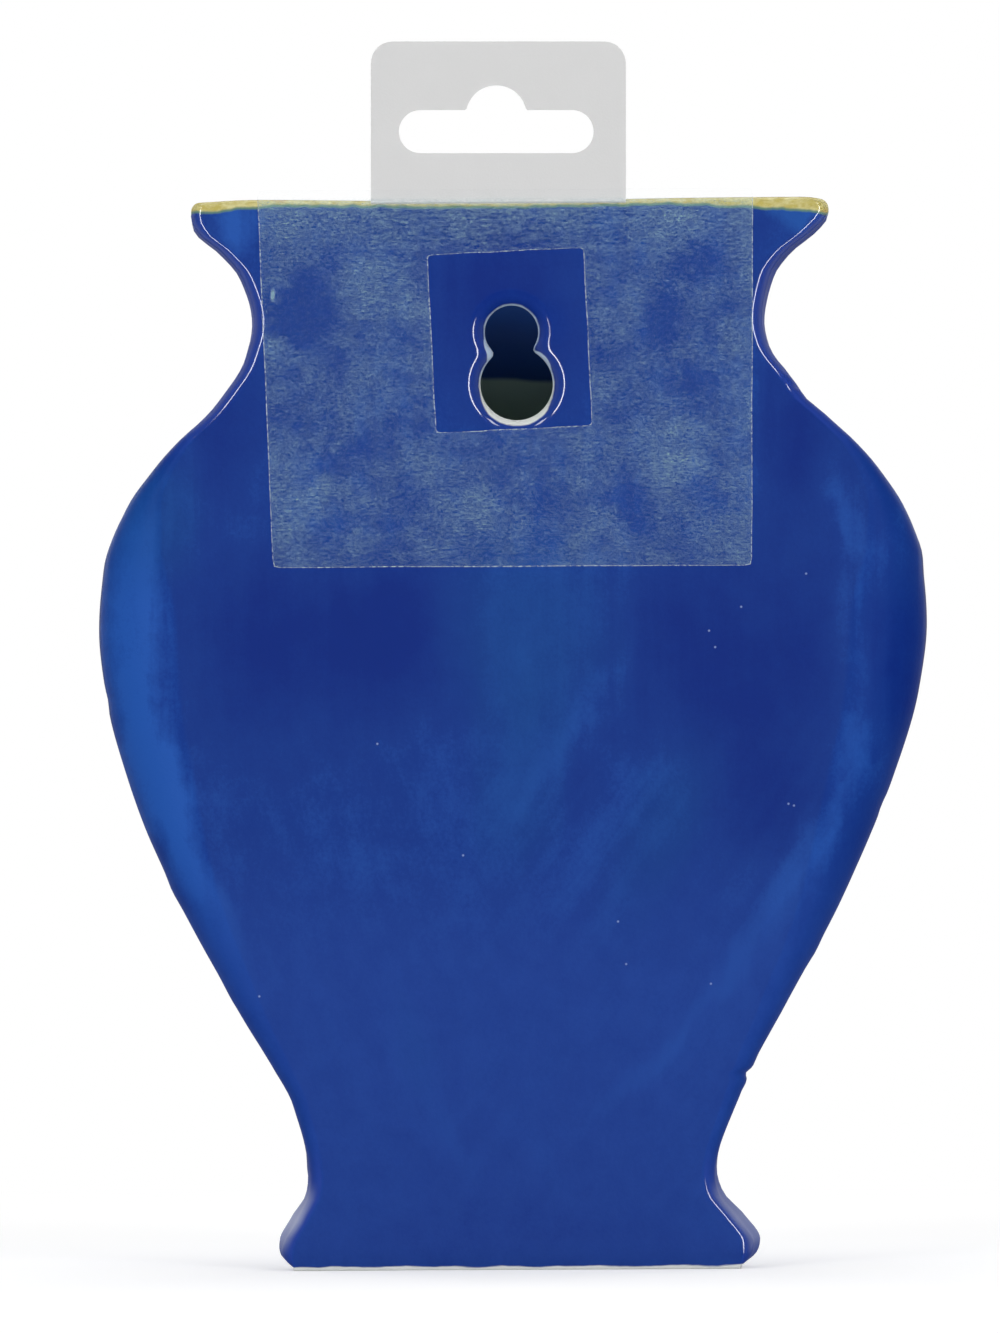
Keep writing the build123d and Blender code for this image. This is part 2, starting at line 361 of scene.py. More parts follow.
def keyhole_distance(p):
    """Distance outside the keyhole's edge, the lobes' join rounded off."""
    d1 = np.hypot(p[..., 0] - SMALL[0], p[..., 1] - SMALL[1]) - SMALL[2]
    d2 = np.hypot(p[..., 0] - BIG[0], p[..., 1] - BIG[1]) - BIG[2]
    k = BLEND_LOBES
    h = np.clip(0.5 + 0.5 * (d2 - d1) / k, 0, 1)
    return d2 + (d1 - d2) * h - k * h * (1 - h)


def keyhole_contour(s, n):
    """The closed line that lies s outside the edge, from the top, clockwise as +x is on the left."""
    fine = []
    for t in np.linspace(0, 1, 721)[:-1]:
        angle = 2 * math.pi * t
        # rays leave a centre that slides down the keyhole's axis
        slide = float(smoothstep(0.12, 0.88, 0.5 - 0.5 * math.cos(angle)))
        base = np.array(SMALL[:2]) + slide * (np.array(BIG[:2]) - np.array(SMALL[:2]))
        ray = np.array([-math.sin(angle), math.cos(angle)])
        low, high = 0.0, 16.0
        for _ in range(40):
            mid = 0.5 * (low + high)
            if keyhole_distance(base + mid * ray) < s:
                low = mid
            else:
                high = mid
        fine.append(base + low * ray)
    fine = np.array(fine + [fine[0]])
    return resample(fine, n)[:-1]


# The block of the slab's grid that gives way to rings round the keyhole
BLOCK_HALF, BLOCK_LOW, BLOCK_TOP = 12.51, -20.01, 10.01
block_cols = [c for c in range(N_SIDE + N_OUT, N_SIDE + N_OUT + len(strip)) if abs(slab_xy[0, c, 0]) < BLOCK_HALF]
block_rows = [r for r in range(len(rows)) if BLOCK_LOW < rows[r] - SEAT < BLOCK_TOP]
c0, c1, r0, r1 = block_cols[0], block_cols[-1], block_rows[0], block_rows[-1]
top_middle = (c0 + c1) // 2
# perimeter of the block, from the top's middle, going to -x first like the contour
perimeter = [(r1, c) for c in range(top_middle, c0, -1)] + [(r, c0) for r in range(r1, r0, -1)]
perimeter += [(r0, c) for c in range(c0, c1)] + [(r, c1) for r in range(r0, r1)]
perimeter += [(r1, c) for c in range(c1, top_middle, -1)]
N_RING = len(perimeter)
rim_xz = np.array([(slab_xy[r, c, 0], rows[r] - SEAT) for r, c in perimeter])
edge_in, edge_out = keyhole_contour(0.0, N_RING), keyhole_contour(BEVEL, N_RING)


def contour_between(s):
    """Points where the line from the inner to the outer contour is s outside the edge."""
    low, high = np.zeros(N_RING), np.ones(N_RING)
    for _ in range(30):
        mid = 0.5 * (low + high)
        d = keyhole_distance(edge_in + mid[:, None] * (edge_out - edge_in))
        low, high = np.where(d < s, mid, low), np.where(d < s, high, mid)
    return edge_in + low[:, None] * (edge_out - edge_in)


def keyhole_slope(p):
    """The way in x and z in which the distance from the keyhole grows fastest."""
    e = 0.01
    gx = keyhole_distance(p + [e, 0]) - keyhole_distance(p - [e, 0])
    gz = keyhole_distance(p + [0, e]) - keyhole_distance(p - [0, e])
    return unit(np.stack([gx, gz], axis=-1))


def ring_points(xz, y):
    """A line in x and z as points at a depth y."""
    return np.stack([xz[:, 0], np.broadcast_to(y, len(xz)), xz[:, 1]], axis=-1)


def add_grid_but_block(piece, P, levels, normals, facing, slot=0):
    """A slab-wide grid with the keyhole's block left out."""
    last_row, last = len(P) - 1, len(P[0]) - 1
    for a, b, c, d in (0, r0, 0, last), (r1, last_row, 0, last), (r0, r1, 0, c0), (r0, r1, c1, last):
        N = None if normals is None else normals[a:b + 1, c:d + 1]
        piece.patch(P[a:b + 1, c:d + 1], levels[a:b + 1, None], N, facing, slot=slot)


# Flat back
slab = Piece()
add_grid_but_block(slab, slab_P, rows, slab_N, None)
add_grid_but_block(slab, plane_P, rows, None, (0, -1, 0), INSIDE)
slab.patch(np.stack([slab_P[0], plane_P[0]]), rows[0], facing=(0, 0, -1))
slab.patch(np.stack([slab_P[-1], plane_P[-1]]), rows[-1], facing=(0, 0, 1))
rings, ring_N = [], []
for t in (0, 0.3, 0.6, 0.85):
    rings.append(ring_points(rim_xz + t * (edge_out - rim_xz), 0.0))
    ring_N.append(np.tile((0.0, 1.0, 0.0), (N_RING, 1)))
for a in np.linspace(0, math.pi / 2, 11):
    s = BEVEL * (1 - math.sin(a))
    p = contour_between(s)
    slope = keyhole_slope(p)
    tip = unit(np.array([math.sin(a) / BEVEL, math.cos(a) / BEVEL_DEPTH]))
    rings.append(ring_points(p, -BEVEL_DEPTH * (1 - math.cos(a))))
    ring_N.append(np.stack([-slope[:, 0] * tip[0], np.full(N_RING, tip[1]), -slope[:, 1] * tip[0]], axis=-1))
rings, ring_N = np.array(rings), np.array(ring_N)
slab.patch(rings, rings[..., 2] + SEAT, ring_N, closed=True)
BORE_RINGS = (-BEVEL_DEPTH, -3.5, -4.3, -BACK)
bore = np.stack([ring_points(edge_in, y) for y in BORE_RINGS])
bore_slope = keyhole_slope(edge_in)
bore_N = np.stack([-bore_slope[:, 0], np.zeros(N_RING), -bore_slope[:, 1]], axis=-1)
bore_N = np.tile(bore_N, (len(BORE_RINGS), 1, 1))
slab.patch(bore, bore[..., 2] + SEAT, bore_N, closed=True)
inner_rings = np.stack([ring_points(rim_xz + t * (edge_in - rim_xz), -BACK) for t in (0, 0.35, 0.7, 1.0)])
slab.patch(inner_rings, inner_rings[..., 2] + SEAT, facing=(0, -1, 0), closed=True, slot=INSIDE)
back_glaze = slab.build("glazed_back")

# Bowed front wall
up = rows >= FLOOR - 1e-6
shell = Piece()
shell.patch(shell_P[up], rows[up, None], shell_N[up])
shell.patch(inner_P[up], rows[up, None], inner_N[up], slot=INSIDE)
for c in (0, -1):
    shell.patch(np.stack([shell_P[up][:, c], inner_P[up][:, c]], axis=1), rows[up, None], facing=(0, 1, 0))
shell.patch(np.stack([shell_P[up][0], inner_P[up][0]]), FLOOR, facing=(0, 0, -1))
shell.patch(np.stack([shell_P[-1], inner_P[-1]]), MOUTH, facing=(0, 0, 1))
front_glaze = shell.build("glazed_front")

# Floor slab with the flared foot
down = rows <= FLOOR + 1e-6
base_xy = shell_xy[down].copy()
base_xy[..., 1] = -BACK
base_P = lift(base_xy, rows[down])
foot = Piece()
foot.patch(shell_P[down], rows[down, None], shell_N[down])
foot.patch(base_P, rows[down, None], facing=(0, 1, 0))
for r, way in ((0, -1), (-1, 1)):
    rims = [shell_P[down][r] + t * (base_P[r] - shell_P[down][r]) for t in np.linspace(0, 1, 9)]
    foot.patch(np.stack(rims), rows[down][r], facing=(0, 0, way), slot=INSIDE if way > 0 else 0)
foot_glaze = foot.build("glazed_foot")

# Rounded lip, on the outline's top row
slab_top, shell_top, inner_top = slab_xy[-1], shell_xy[-1], inner_xy[-1]
reach = inner_top[0, 0]
back_inner = np.c_[slab_top[:, 0] * reach / slab_top[-1, 0], np.full(SLAB_COLUMNS, -BACK)]
lip_out = np.concatenate([slab_top, shell_top[1:-1]])
lip_in = np.concatenate([back_inner, inner_top[1:-1]])
toward = unit(lip_in - lip_out)
# the lip's profile, as how far in from its outer or inner line and how far up: radius and start of each rounding
OUT_R, OUT_UP, IN_R, IN_UP = 1.6, 0.3, 1.3, 0.6
profile = [(0.0, 0.0), (0.0, OUT_UP)]
profile += [(OUT_R * (1 - math.cos(a)), OUT_UP + OUT_R * math.sin(a)) for a in np.linspace(0.15, math.pi / 2, 10)]
inside = [(IN_R * (1 - math.cos(a)), IN_UP + IN_R * math.sin(a)) for a in np.linspace(math.pi / 2, 0, 9)] + [(0.0, 0.0)]
lip_rows = [(lip_out + a * toward, b) for a, b in profile] + [(lip_in - a * toward, b) for a, b in inside]
lip_P = np.stack([warp(np.c_[xy, np.full(len(xy), MOUTH + b - SEAT)], MOUTH + b) for xy, b in lip_rows])
lip_levels = np.array([MOUTH + b for xy, b in lip_rows])[:, None]
lip_N = aimed(grid_normals(lip_P, closed=True), len(profile) - 1, 0, 2, 1)
rim = Piece()
rim.patch(lip_P, lip_levels, lip_N, closed=True)
rim.patch(np.stack([lip_P[0], lip_P[-1]]), MOUTH, facing=(0, 0, -1), closed=True)
rim_glaze = rim.build("glazed_lip")

# Film and tab: how far the vase leans under its level tab, the film's height above the back, its lift over the
# tab's leg and the width of its cut edge, the leg's lower end, the tab's box and the heights of its two faces
TILT = math.radians(0.3)
FILM_Y = 0.10
FILM_LIFT = 0.38
FILM_MARGIN = 0.28
LEG_FOOT = 14.4
TAB_X, TAB_HALF, TAB_TOP, PIVOT_Z = 2.0, 20.95, 47.68, 30.0
TAB_FACES = (0.38, 0.03)
# corners of the film, then its window's middle, half sizes and turn
film_out = np.array([(41.7, 23.4), (-39.8, 23.4), (-39.3, -38.6), (39.4, -38.6)])
window_turn = math.radians(-2.5)
window_mid, window_half = np.array([0.3, -1.4]), np.array([12.8, 14.6])
window_out = np.array([(1, 1), (-1, 1), (-1, -1), (1, -1)]) * window_half
turn = np.array([[math.cos(window_turn), -math.sin(window_turn)], [math.sin(window_turn), math.cos(window_turn)]])
window_out = window_out @ turn.T + window_mid


def walk(corners, counts, radius, wander, seed):
    """A closed line through four corners, slightly rounded there and slightly uneven along its cut sides."""
    rng = np.random.default_rng(seed)
    points = []
    for k in range(4):
        a, b = corners[k], corners[(k + 1) % 4]
        t = np.linspace(0, 1, counts[k], endpoint=False)
        line = a + t[:, None] * (b - a)
        side = unit(np.array([-(b - a)[1], (b - a)[0]]))
        phase = rng.uniform(0, 2 * math.pi, 4)
        waves = sum(np.sin(2 * math.pi * f * t + p) / f for f, p in zip((2, 3, 5, 9), phase))
        line += side * (wander * waves * np.minimum(1, 12 * np.minimum(t, 1 - t)))[:, None]
        points.append(line)
    points = np.concatenate(points)
    for corner in corners:
        away = points - corner
        d = np.linalg.norm(away, axis=1)
        inward = unit(corners.mean(axis=0) - corner)
        points = points + np.where(d < radius, (radius - d) * 0.42, 0)[:, None] * inward
    return points


def film_height_at(x, z):
    """The film lies on the glaze and is lifted over the tab's leg."""
    across = smoothstep(TAB_HALF + 0.9, TAB_HALF, np.abs(x - TAB_X))
    along = smoothstep(LEG_FOOT - 0.9, LEG_FOOT, z)
    return FILM_Y + FILM_LIFT * across * along


counts = [64, 50, 64, 50]
outer_line = walk(film_out, counts, 0.7, 0.05, 3)
window_line = walk(window_out, counts, 0.6, 0.06, 8)
span = np.linalg.norm(outer_line - window_line, axis=1)[:, None]
shares = [np.zeros_like(span), FILM_MARGIN / span]
shares += [(FILM_MARGIN + (span - 2 * FILM_MARGIN) * t) / span for t in np.linspace(0, 1, 22)[1:-1]]
shares += [1 - FILM_MARGIN / span, np.ones_like(span)]
film_xz = [window_line + s * (outer_line - window_line) for s in shares]
film_P = np.stack([np.stack([p[:, 0], film_height_at(p[:, 0], p[:, 1]), p[:, 1]], axis=-1) for p in film_xz])
film_N = aimed(grid_normals(film_P, closed=True), 5, 5, 1, 1)
film = Piece()
edge_share = np.zeros(len(film_P))
edge_share[[0, -1]] = 1.0
film.patch(film_P, edge_share[:, None], film_N, closed=True)
# the cut edges round the window and outside, whose middle lies 6 mm lower
for k, out in ((0, -1), (-1, 1)):
    low = film_P[k] * [1, 0, 1] + [0, 0.02, 0]
    film.patch(np.stack([film_P[k] + [0, 1e-3, 0], low]), 1.0, closed=True, facing=lambda p, out=out:
               (out * (p[0] - window_mid[0]), 0, out * (p[2] - window_mid[1] + 6 * (out > 0))))
adhesive = film.build("frosted_film", "edge")

# Tab: panel with a round-topped slot, the strip where it would flex, drawn flat, and the clear leg under the film
SLOT_X, SLOT_Z, SLOT_HALF, SLOT_R = 2.35, TAB_TOP - 14.8, 16.0, 3.55
HUMP_R, HUMP_Z = 5.0, SLOT_Z + 2.6


def slot_contour(n):
    """The slot's edge as a closed line, from the hump's top, going to -x first."""
    meet = math.asin((SLOT_Z + SLOT_R - HUMP_Z) / HUMP_R)
    arc = [(SLOT_X - HUMP_R * math.sin(a), HUMP_Z + HUMP_R * math.cos(a))
           for a in np.linspace(0, math.pi / 2 - meet, 60)]
    end = [(SLOT_X - (SLOT_HALF - SLOT_R) - SLOT_R * math.sin(a), SLOT_Z + SLOT_R * math.cos(a))
           for a in np.linspace(0, math.pi, 90)]
    half = np.array(arc + end)
    other = half[::-1] * [-1, 1] + [2 * SLOT_X, 0]
    return resample(np.r_[half, other], n)[:-1]


# the strip between panel and leg, drawn flat, then the points along the tab's four sides
FLEX_LOW, FLEX_HIGH = 23.45, 24.35
tab_counts = [48, 32, 48, 32]
TAB_CORNER = 3.6
tab_line = []
box = [(TAB_X + side * TAB_HALF, z) for side, z in ((1, TAB_TOP), (-1, TAB_TOP), (-1, FLEX_HIGH), (1, FLEX_HIGH))]
for k in range(4):
    a, b = np.array(box[k]), np.array(box[(k + 1) % 4])
    tab_line.append(a + np.linspace(0, 1, tab_counts[k], endpoint=False)[:, None] * (b - a))
tab_line = np.concatenate(tab_line)
for sign in (1, -1):
    centre = np.array([TAB_X + sign * (TAB_HALF - TAB_CORNER), TAB_TOP - TAB_CORNER])
    away = tab_line - centre
    near = (away[:, 0] * sign > 0) & (away[:, 1] > 0)
    tab_line[near] = centre + unit(away[near]) * TAB_CORNER
# start the panel's line at the same place as the slot's: the top's middle
tab_line = np.roll(tab_line, -tab_counts[0] // 2, axis=0)
slot_line = slot_contour(len(tab_line))


def turned(p):
    """The tab hangs straight although the vase leans a little."""
    c, s = math.cos(TILT), math.sin(TILT)
    q = p - [TAB_X, PIVOT_Z]
    return np.stack([c * q[..., 0] - s * q[..., 1], s * q[..., 0] + c * q[..., 1]], axis=-1) + [TAB_X, PIVOT_Z]


def edge_band(line):
    """The strip of the sheet's edge along a line, from its one face to the other."""
    return np.array([ring_points(line, y) for y in TAB_FACES])


panel = [turned(slot_line + t * (tab_line - slot_line)) for t in np.linspace(0, 1, 9)]
first = tab_counts[0] // 2 + tab_counts[1]
bottom = np.array([tab_line[(first + k) % len(tab_line)] for k in range(tab_counts[2] + 1)])
heights = list(np.linspace(FLEX_HIGH, FLEX_LOW, 7)) + list(np.linspace(FLEX_LOW, LEG_FOOT, 6))[1:]
leg = [turned(np.c_[bottom[:, 0], np.full(len(bottom), z)]) for z in heights]
tab = Piece()
for y, way in zip(TAB_FACES, (1, -1)):
    tab.patch(np.array([ring_points(p, y) for p in panel]), 0.0, facing=(0, way, 0), closed=True)
    tab.patch(np.array([ring_points(p, y) for p in leg]), 0.0, facing=(0, way, 0))
tab.patch(edge_band(panel[0]), 0.0, facing=lambda q: (SLOT_X - q[0], 0, SLOT_Z - q[2]), closed=True)
upper = [k % len(tab_line) for k in range(first + tab_counts[2], first + len(tab_line) + 1)]
edge_shade = np.array([panel[-1][k] for k in upper])
side_a, side_b = np.array([p[-1] for p in leg]), np.array([p[0] for p in leg])
outline = np.r_[side_a[::-1][:-1], edge_shade, side_b[1:]]
tab.patch(edge_band(outline), 0.0, facing=lambda q: (q[0] - TAB_X, 0, q[2] - PIVOT_Z))
tab.patch(edge_band(leg[-1]), 0.0, facing=(0, 0, -1))
hang_tab = tab.build("hanging_tab", "edge")


def srgb(r, g, b):
    """A written 8-bit colour as linear light."""
    out = []
    for c in (r, g, b):
        c /= 255
        out.append(c / 12.92 if c <= 0.04045 else ((c + 0.055) / 1.055) ** 2.4)
    return (*out, 1.0)


class Nodes:
    """Wires a material or the world."""

    def __init__(self, owner):
        owner.use_nodes = True
        self.owner, self.tree = owner, owner.node_tree
        self.tree.nodes.clear()
        self.coords = self.add("ShaderNodeTexCoord").outputs

    def put(self, socket, value):
        if isinstance(value, bpy.types.NodeSocket):
            self.tree.links.new(value, socket)
        else:
            socket.default_value = value

    def add(self, kind, inputs=(), **settings):
        """A new node, its inputs set or linked by name or number."""
        node = self.tree.nodes.new(kind)
        for key, value in settings.items():
            setattr(node, key, value)
        for key, value in dict(inputs).items():
            self.put(node.inputs[key], value)
        return node

    def first(self, kind, inputs=(), **settings):
        """The first output of a new node."""
        return self.add(kind, inputs, **settings).outputs[0]

    def math(self, operation, a, b=0.0, c=0.0, clamp=False):
        return self.first("ShaderNodeMath", enumerate((a, b, c)), operation=operation, use_clamp=clamp)

    def times(self, first, *others):
        for value in others:
            first = self.math("MULTIPLY", first, value)
        return first

    def size(self, value):
        return self.math("ABSOLUTE", value)

    def most(self, first, *others):
        for value in others:
            first = self.math("MAXIMUM", first, value)
        return first

    def rest(self, value):
        return self.math("SUBTRACT", 1.0, value)

    def total(self, first, *terms):
        """first plus each (gain, value), or (gain, value, middle) where the value varies about a middle."""
        for gain, value, *middle in terms:
            first = self.math("MULTIPLY_ADD", value, gain, first)
            if middle:
                first = self.math("SUBTRACT", first, gain * middle[0])
        return first

    def vector(self, operation, *inputs, **scale):
        node = self.add("ShaderNodeVectorMath", {**dict(enumerate(inputs)), **scale}, operation=operation)
        return node.outputs["Value" if operation in ("LENGTH", "DISTANCE") else "Vector"]

    def split(self, vector):
        return tuple(self.add("ShaderNodeSeparateXYZ", {"Vector": vector}).outputs)

    def join(self, x, y, z):
        return self.first("ShaderNodeCombineXYZ", enumerate((x, y, z)))

    def noise(self, frequency, detail=3.0, rough=0.5, turn=0.0, shift=(0.0, 0.0, 0.0)):
        """Noise over millimetres times a frequency along each axis, turned about Y first."""
        place = self.first("ShaderNodeMapping", {"Vector": self.mm, "Rotation": (0.0, turn, 0.0)})
        at = self.vector("ADD", self.vector("MULTIPLY", place, frequency), shift)
        return self.first("ShaderNodeTexNoise", {"Vector": at, "Scale": 1.0, "Detail": detail, "Roughness": rough})

    def step(self, value, low, high, out_low=0.0, out_high=1.0):
        limits = {"Value": value, "From Min": low, "From Max": high, "To Min": out_low, "To Max": out_high}
        return self.first("ShaderNodeMapRange", limits, interpolation_type="SMOOTHSTEP")

    def hump(self, value, centre, half):
        """1 at the centre, falling smoothly to 0 at half to either side."""
        off = self.size(self.math("SUBTRACT", value, centre))
        return self.step(off, half, 0.0)

    def dab(self, at, x, z, half_length, half_width, lean=0):
        """One dab of the brush on the back: 1 in its middle, 0 outside. A positive lean tips its top to -x."""
        place = {"Vector": at, "Location": (x, 0, z), "Rotation": (0, -math.radians(lean), 0),
                 "Scale": (half_width, 1e6, half_length)}
        local = self.first("ShaderNodeMapping", place, vector_type="TEXTURE")
        ball = self.add("ShaderNodeTexGradient", {"Vector": local}, gradient_type="SPHERICAL")
        return self.step(ball.outputs["Fac"], 0.0, 0.85)

    def dabs(self, at, table, start=0.0, share=1.0):
        """start plus a share of each dab's strength, the last value of its row."""
        return self.total(start, *((share * gain, self.dab(at, *place)) for *place, gain in table))

    def mix(self, share, a, b):
        return self.add("ShaderNodeMix", {0: share, 6: a, 7: b}, data_type="RGBA").outputs[2]

    def either(self, share, a, b):
        return self.first("ShaderNodeMixShader", enumerate((share, a, b)))

    def ramp(self, value, *stops):
        node = self.add("ShaderNodeValToRGB", {"Fac": value})
        elements = node.color_ramp.elements
        while len(elements) < len(stops):
            elements.new(0.5)
        for element, (place, colour) in zip(elements, stops):
            element.position, element.color = place, colour
        return node.outputs[0]

    def attribute(self, name):
        return self.add("ShaderNodeAttribute", attribute_name=name).outputs["Fac"]

    def bump(self, height, distance):
        return self.first("ShaderNodeBump", {"Height": height, "Distance": distance, "Strength": 1.0})

    def finish(self, **inputs):
        shader = self.add("ShaderNodeBsdfPrincipled")
        for key, value in inputs.items():
            self.put(shader.inputs[key.replace("_", " ")], value)
        self.add("ShaderNodeOutputMaterial", {"Surface": shader.outputs[0]}, is_active_output=True)
        return self.owner


def new_material(name):
    """The nodes of a new material, with its place in millimetres and its normal."""
    n = Nodes(bpy.data.materials.new(name))
    n.mm = n.vector("SCALE", n.coords["Object"], Scale=1000.0)
    n.x, n.y, n.z = n.split(n.mm)
    n.nx, n.ny = n.split(n.coords["Normal"])[:2]
    return n


# Brushwork of the glaze on the back: middle x and z, half length, half width, lean in degrees, strength
TONES = [
    # thick dark pools
    (26.5, -50, 22, 26, 0, -0.8), (21.5, -50, 14, 12, 0, -0.35), (43, -53, 24, 13, 0, -0.5),
    (-37.5, -54, 28, 26, 0, -1), (-44, -78, 14, 16, 0, -0.7), (-63, -51, 17, 7.5, 0, -0.9),
    (-65.5, -63, 12, 4.5, 12, -0.5), (-46, -17, 20, 7.5, -4, -0.8), (46.5, -18, 15, 8, 8, -0.5),
    (0, 4, 24, 20, 0, -0.85), (-2, -149, 6, 42, 0, -0.45),
    # light band down the left edge: thin glaze, with painted light from the side on the rolled edge
    (62.5, -47, 26, 7, 0, 1.15), (58.5, -75, 26, 7, -19, 1.25), (48.6, -97, 22, 6, -27, 0.55),
    (59, -30, 13, 10, 10, 0.35),
    # light band down the right edge: thin glaze, with painted light from the side on the rolled edge
    (-54.8, -50, 28, 4.6, 2, 0.4), (-56, -32, 14, 4, -28, 0.5), (-50.5, -83, 24, 5, 21, 0.85),
    (-57, -68, 9, 3.2, -8, 0.35),
    # thin glaze down the middle, with slanted strokes
    (-3, -47, 19, 19, 0, 0.35), (-1.5, -67, 19, 11, 10, 0.3), (-9.7, -64.4, 25, 3.2, 37, 0.32),
    (-21, -77, 23, 9, 28, 0.2), (-14, -84, 24, 4, 36, 0.2), (-21, -121, 22, 2.6, 40, 0.6),
    (-35.5, -103.5, 12, 3, 36, 0.6), (-43, -95, 13, 3.4, 24, 0.4), (-30, -112, 18, 7, 38, 0.25),
    (11.5, -133, 18, 3, -20, 0.35), (18, -118, 17, 6, -14, 0.25), (-6, -138, 14, 3, -22, 0.25),
    # corners under the lip
    (45, 19, 6.5, 6, -20, 0.95), (-45.5, 20.6, 4.6, 7, 60, 1.3), (-48.5, 20.8, 3.5, 3, 40, 0.8),
]
# green-blue where the glaze is thin, in the same columns
TEALS = [(-3, -50, 24, 19, 0, 0.55), (-1, -72, 24, 11, 8, 0.4), (-24, -82, 24, 10, 20, 0.4),
         (59, -32, 16, 11, 8, 0.55), (17, -117, 13, 5, -12, 0.35), (-45.5, 20, 5, 7, 50, 0.4)]
# clay showing past the keyhole's edge, in the same columns
BARE_SPOTS = [(3.5, -2.8, 2.6, 1.7, -12, 1), (-5.2, -4.6, 2.6, 1.5, -38, 0.4)]
# pinholes, each painted as a pale dot for the glint it catches: x and z
PINHOLE_GLINTS = [(22.4, -67.6), (8.4, -86), (-37.5, -45.4), (-33.2, -52), (-32.2, -49.3), (-45.1, -77.8), (-46, -78.1),
          (-48.2, -40), (-63.7, -63.8), (-18.3, -104), (-32.2, -107.3), (-17, -97), (42, -109)]

# The glaze's colours from thick to thin, then those of its greener patches and of its foot
NAVY, COBALT, SKY = srgb(4, 42, 131), srgb(17, 57, 142), srgb(35, 87, 176)
TEAL, VIOLET = srgb(14, 71, 141), srgb(30, 68, 156)


def cobalt_colour(n):
    """Cobalt glaze: cloudy, with upright brush streaks, slanted strokes, thick dark pools, and light bands along the
    edges from thin glaze and painted side light.
    """
    swirl = n.noise((0.06, 0.02, 0.05), 3, 0.6)
    streak = n.noise((0.3, 0.05, 0.02), 4, 0.6, shift=(3, 1, 0))
    slant = n.noise((0.26, 0.05, 0.02), 4, 0.6, turn=0.62, shift=(9, 0, 4))
    other = n.noise((0.26, 0.05, 0.025), 4, 0.6, turn=-0.36, shift=(2, 0, 7))
    cloud = n.noise((0.045, 0.02, 0.03), 3, 0.6, shift=(5, 0, 2))
    blotch = n.noise((0.22, 0.1, 0.2), 3, 0.6, shift=(1, 0, 6))
    grain = n.noise((1.5, 1.5, 1.3), 3, 0.75)
    # strokes rise to the viewer's right below the belly's middle, and the other way at the lower left
    low = n.step(n.z, -50, -80)
    left = n.step(n.x, 2, 16)
    at = n.join(n.total(n.x, (9, swirl, 0.5), (6, streak, 0.5)), n.y, n.total(n.z, (14, cloud, 0.5)))
    dabs = n.dabs(at, TONES, 0.5, 0.5)
    back = n.step(n.y, -12, -7)
    tone = n.total(0.5, (1, n.times(n.math("SUBTRACT", dabs, 0.5), back)))
    tone = n.total(tone, (0.5, cloud, 0.5), (0.42, blotch, 0.5), (0.4, grain, 0.5))
    tone = n.total(tone, (1, n.times(n.total(-0.19, (0.38, streak)), n.step(low, 0, 1, 1, 0.45))))
    upright = n.total(-0.25, (0.5, slant))
    across = n.total(-0.2, (0.4, other))
    strokes = n.math("MULTIPLY_ADD", left, n.math("SUBTRACT", across, upright), upright)
    tone = n.total(tone, (1, n.times(strokes, low)))
    colour = n.ramp(tone, (0, NAVY), (0.5, COBALT), (1, SKY))
    teal = n.times(n.dabs(at, TEALS), back)
    colour = n.mix(n.math("MULTIPLY", teal, 0.8, clamp=True), colour, TEAL)
    violet = n.total(0.66, (0.8, blotch, 0.5), (0.5, grain, 0.5))
    violet = n.times(n.step(n.total(n.z, (14, cloud, 0.5)), -78, -108), violet)
    colour = n.mix(violet, colour, VIOLET)
    return colour, grain


